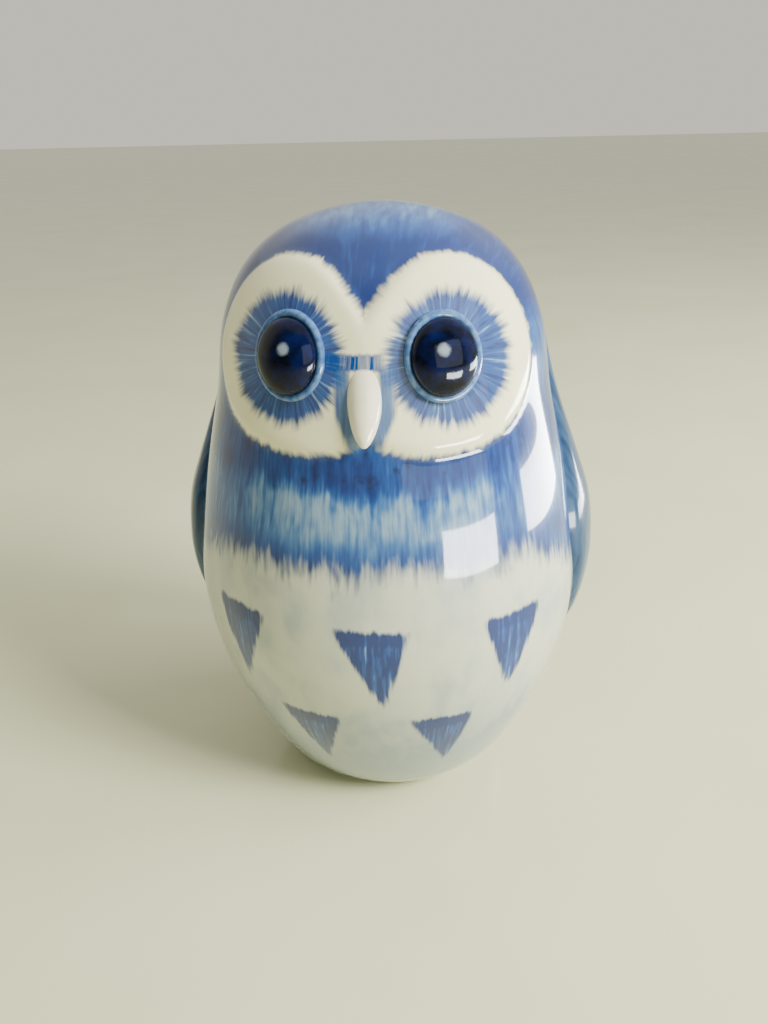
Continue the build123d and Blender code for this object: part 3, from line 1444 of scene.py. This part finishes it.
@dataclass(frozen=True)
class Wing:
    """Folded wing: a long crowned leaf on the flank, with long feathers and its point down."""

    side: Side
    form: OwlForm = FORM
    sink: float = 0.8
    full: float = 5.2
    front: Fair = Fair((
        (26.0, 104.0), (31.0, 93.0), (38.0, 84.5), (46.0, 79.0), (54.5, 75.5), (63.0, 75.5),
        (71.0, 79.5), (80.0, 86.0), (89.0, 92.0), (97.0, 98.0),
    ))
    back: Fair = Fair((
        (26.0, 114.0), (31.0, 125.0), (38.0, 139.0), (46.0, 150.0), (54.5, 156.0),
        (63.0, 157.0), (71.0, 154.0), (80.0, 146.0), (89.0, 132.0), (97.0, 108.0),
    ))
    rise: Fair = Fair((
        (24.0, 0.0), (26.0, 0.6), (31.0, 1.6), (38.0, 2.4), (46.0, 3.2), (54.5, 4.0),
        (63.0, 4.2), (71.0, 3.2), (80.0, 2.2), (89.0, 1.5), (97.0, 0.5), (99.0, 0.0),
    ))
    crown: Fair = Fair((
        (0.0, 0.0), (0.04, 0.46), (0.10, 0.72), (0.20, 0.92), (0.36, 1.0), (0.55, 0.93),
        (0.70, 0.80), (0.84, 0.60), (0.94, 0.36), (1.0, 0.0),
    ))
    feathers: tuple[float, ...] = (0.34, 0.50, 0.65, 0.79)
    feather_depth: float = 0.60
    feather_width: float = 0.032

    def lift(self, spot: Vector) -> float:
        """Share of the wing's full lift at a point.

        Args:
            spot: Point in metres.

        Returns:
            A share from 0 to 1.
        """
        angle, z, _ = self.form.place(spot)
        front, back = self.front.at(z), self.back.at(z)
        share = (abs(angle) - front) / (back - front)
        if not (0.0 < share < 1.0 and 24.5 < z < 98.5):
            return 0.0
        height = self.crown.at(share) * (self.rise.at(z) + self.sink)
        along = ease(z, 78.0, 60.0) * ease(z, 27.0, 34.0)
        for groove in self.feathers:
            gap = (share - groove) / self.feather_width
            height -= self.feather_depth * along * math.exp(-gap * gap)
        return max(0.0, height) / self.full

    def build(self, finish: bpy.types.Material) -> bpy.types.Object:
        """Cuts a patch of skin on the flank, swells the leaf out of it and backs it.

        Args:
            finish: Wing glaze.

        Returns:
            The finished wing.
        """
        name = self.side.name.lower()
        leaf = Leaf("owl_wing_" + name, self.form, 22.0, 101.0, 34, 160, self.sink, 1.6)
        sign = self.side.value
        clay = leaf.patch(lambda angle: 71.0 < angle * sign < 161.0)
        clay.swell(self.full, self.lift)
        leaf.close(clay)
        return clay.hand_over(finish, Slot.WINGS, ["wing_" + name])


@dataclass(frozen=True)
class Tail:
    """Short tail: a rounded tongue low on the back, with three feathers scored in it."""

    form: OwlForm = FORM
    sink: float = 0.6
    full: float = 7.0
    half: Fair = Fair((
        (5.0, 2.0), (6.0, 5.0), (9.0, 7.8), (16.0, 10.2), (25.0, 10.6), (34.0, 8.6),
        (42.0, 5.5), (44.0, 4.0),
    ))
    rise: Fair = Fair((
        (3.5, 0.0), (5.0, 3.0), (7.0, 5.0), (9.0, 5.9), (16.0, 5.6), (25.0, 3.6), (34.0, 1.4),
        (42.0, 0.3), (44.0, 0.0),
    ))
    grooves: tuple[float, ...] = (-0.36, 0.0, 0.36)
    groove_depth: float = 0.55
    groove_width: float = 0.06

    def lift(self, spot: Vector) -> float:
        """Share of the tail's full lift at a point.

        Args:
            spot: Point in metres.

        Returns:
            A share from 0 to 1.
        """
        z, across = spot.z / MM, spot.x / MM
        if not 3.6 < z < 43.9:
            return 0.0
        share = abs(across) / self.half.at(z)
        if share >= 1.0:
            return 0.0
        height = (1.0 - share ** 2.6) ** 0.75 * (self.rise.at(z) + self.sink)
        along = ease(z, 36.0, 22.0)
        for groove in self.grooves:
            gap = (across / self.half.at(z) - groove) / self.groove_width
            height -= self.groove_depth * along * math.exp(-gap * gap)
        return max(0.0, height) / self.full

    def build(self, finish: bpy.types.Material) -> bpy.types.Object:
        """Cuts a patch of skin low on the back, swells the tongue out of it and backs it.

        Args:
            finish: Tail glaze.

        Returns:
            The finished tail.
        """
        leaf = Leaf("owl_tail", self.form, 3.0, 46.0, 24, 160, self.sink, 1.6)
        clay = leaf.patch(lambda angle: abs(angle) > 152.0)
        clay.swell(self.full, self.lift)
        leaf.close(clay)
        return clay.hand_over(finish, Slot.TAIL, ["tail"])


@dataclass(frozen=True)
class Softbox:
    """One soft studio light, aimed at the middle of the owl."""

    name: str
    place: tuple[float, float, float]
    size: tuple[float, float]
    power: float
    colour: tuple[float, float, float]
    diffuse: bool = True
    shine: bool = True
    owl_only: bool = False

    def build(self, owl: list[bpy.types.Object]) -> None:
        """Hangs the light.

        Args:
            owl: The owl's visible pieces, for a light that leaves the table out.
        """
        light = bpy.data.lights.new(self.name, "AREA")
        light.shape = "RECTANGLE"
        light.size, light.size_y = self.size
        light.energy = self.power
        light.color = self.colour
        lamp = bpy.data.objects.new(self.name, light)
        bpy.context.scene.collection.objects.link(lamp)
        aim = Vector((0.0, 0.0, min(0.06, self.place[2]))) - Vector(self.place)
        lamp.location = self.place
        lamp.rotation_euler = aim.to_track_quat("-Z", "Y").to_euler()
        lamp.visible_camera = False
        lamp.visible_diffuse = self.diffuse
        lamp.visible_glossy = self.shine
        if self.owl_only:
            lit = bpy.data.collections.new(self.name + "_lit")
            for piece in owl:
                lit.objects.link(piece)
            lamp.light_linking.receiver_collection = lit


@dataclass(frozen=True)
class Studio:
    """Pale table, soft light and the camera."""

    camera_place: tuple[float, float, float] = (0.0170, -0.1524, 0.1360)
    camera_turn: float = 6.55
    camera_dip: float = 26.7
    camera_roll: float = 1.6
    lens: float = 28.97
    table_size: float = 6.0
    sky: Colour = (1.0, 0.99, 0.86, 1.0)
    sky_power: float = 1.0
    front_power: float = 0.16
    back_power: float = 0.6
    backdrop_power: float = 0.75
    backdrop_size: float = 5.0
    lights: tuple[Softbox, ...] = (
        Softbox("key_front_right", (0.351, -0.450, 0.245), (0.60, 0.40), 1.7, (1.0, 1.0, 0.95),
                diffuse=False),
        Softbox("sun_right", (0.56, -0.26, 0.46), (0.26, 0.26), 13.0, (1.0, 1.0, 0.92),
                shine=False),
        Softbox("side_right", (0.60, 0.10, 0.30), (0.30, 0.30), 4.0, (0.97, 0.99, 1.0),
                shine=False),
        Softbox("low_front_right", (0.175, -0.165, 0.024), (0.13, 0.045), 1.35,
                (0.95, 0.98, 1.0), diffuse=False, owl_only=True),
        Softbox("low_right", (0.275, 0.070, 0.027), (0.20, 0.050), 1.8, (0.95, 0.98, 1.0),
                diffuse=False, owl_only=True),
    )

    def build(self) -> None:
        """Sets up the world, the table, the lights and the camera."""
        owl = [piece for piece in bpy.context.scene.objects if not piece.hide_render]
        self.world()
        self.table()
        self.backdrop()
        for light in self.lights:
            light.build(owl)
        self.camera()

    def world(self) -> None:
        """Pale surroundings, dim in front of the owl below the ceiling."""
        bench = Bench("studio", bpy.data.worlds.new("studio"))
        toward = bench.make("ShaderNodeTexCoord", {}, {}).outputs["Generated"]
        parts = bench.make("ShaderNodeSeparateXYZ", {}, {0: Paint(bench, toward)})
        front = Paint(bench, parts.outputs[1]).step(-0.05, -0.45)
        low = Paint(bench, parts.outputs[2]).step(0.97, 0.75)
        behind = Paint(bench, parts.outputs[1]).step(0.2, 0.6)
        level = Paint(bench, parts.outputs[2]).step(0.55, 0.25)
        power = self.sky_power - (self.sky_power - self.front_power) * (front * low)
        power = power - (self.sky_power - self.back_power) * (behind * level)
        backdrop = bench.make("ShaderNodeBackground", {}, {"Color": self.sky, "Strength": power})
        bench.make("ShaderNodeOutputWorld", {}, {"Surface": Paint(bench, backdrop.outputs[0])})
        bpy.context.scene.world = bench.material

    def table(self) -> None:
        """Pale, faintly glossy table top."""
        clay = Clay("table", lambda: bpy.ops.mesh.primitive_plane_add(size=self.table_size))
        bench = Bench("pale_table")
        place = bench.skin()
        cloud = bench.grain(place.x / 60.0, place.y / 60.0, 0.0)
        colour = bench.mix(cloud.step(-1.0, 1.0), ink(207, 206, 167), ink(213, 213, 176))
        shader = bench.make("ShaderNodeBsdfPrincipled", {}, {
            "Base Color": colour, "Roughness": 0.16 + 0.02 * cloud, "IOR": 1.45,
        })
        bench.make("ShaderNodeOutputMaterial", {}, {"Surface": Paint(bench, shader.outputs[0])})
        clay.piece.data.materials.append(bench.material)

    def backdrop(self) -> None:
        """Plain pale backdrop all round, which gives no light and isn't mirrored in the glaze."""
        clay = Clay("backdrop", lambda: bpy.ops.mesh.primitive_uv_sphere_add(
            radius=self.backdrop_size))
        bench = Bench("pale_backdrop")
        shader = bench.make("ShaderNodeEmission", {}, {
            "Color": self.sky, "Strength": self.backdrop_power,
        })
        bench.make("ShaderNodeOutputMaterial", {}, {"Surface": Paint(bench, shader.outputs[0])})
        sheet = clay.piece
        sheet.data.materials.append(bench.material)
        sheet.visible_diffuse = sheet.visible_glossy = sheet.visible_shadow = False
        sheet.visible_transmission = sheet.visible_volume_scatter = False

    def camera(self) -> None:
        """Camera just in front of the owl, looking slightly down on it."""
        turn, dip, roll = (math.radians(a) for a in
                           (self.camera_turn, self.camera_dip, self.camera_roll))
        ahead = Vector((-math.sin(turn) * math.cos(dip), math.cos(turn) * math.cos(dip),
                        -math.sin(dip)))
        level = Vector((math.cos(turn), math.sin(turn), 0.0))
        above = level.cross(ahead)
        right = level * math.cos(roll) - above * math.sin(roll)
        upright = level * math.sin(roll) + above * math.cos(roll)
        data = bpy.data.cameras.new("camera")
        data.lens = self.lens
        data.clip_start = 0.01
        camera = bpy.data.objects.new("camera", data)
        bpy.context.scene.collection.objects.link(camera)
        axes = Matrix((right, upright, -ahead)).transposed().to_4x4()
        camera.matrix_world = Matrix.Translation(self.camera_place) @ axes
        bpy.context.scene.camera = camera


def dress(node: str, finish: bpy.types.Material) -> None:
    """Gives a CAD node that stays its own finish.

    Args:
        node: Name of the node.
        finish: Its material.
    """
    piece = frame["nodes"][node]
    piece.data.materials.clear()
    piece.data.materials.append(finish)
    logging.info("%s: CAD node, finish %s", node, finish.name)


def main() -> None:
    """Builds every piece in order, then the studio round them."""
    logging.basicConfig(level=logging.INFO, format="%(message)s")
    BodyShell().build(PaintedGlaze().make())
    dress("base_plate", BarePorcelain().make())
    lid_glaze = LidGlaze().make()
    wing_glaze = WingGlaze().make()
    for side in Side:
        Eye(side).build(NavyGlaze(side).make())
        Lid(side).build(lid_glaze)
        Wing(side).build(wing_glaze)
    Beak().build(IvoryGlaze().make())
    Tail().build(TailGlaze().make())
    Studio().build()


if __name__ == "__main__":
    main()
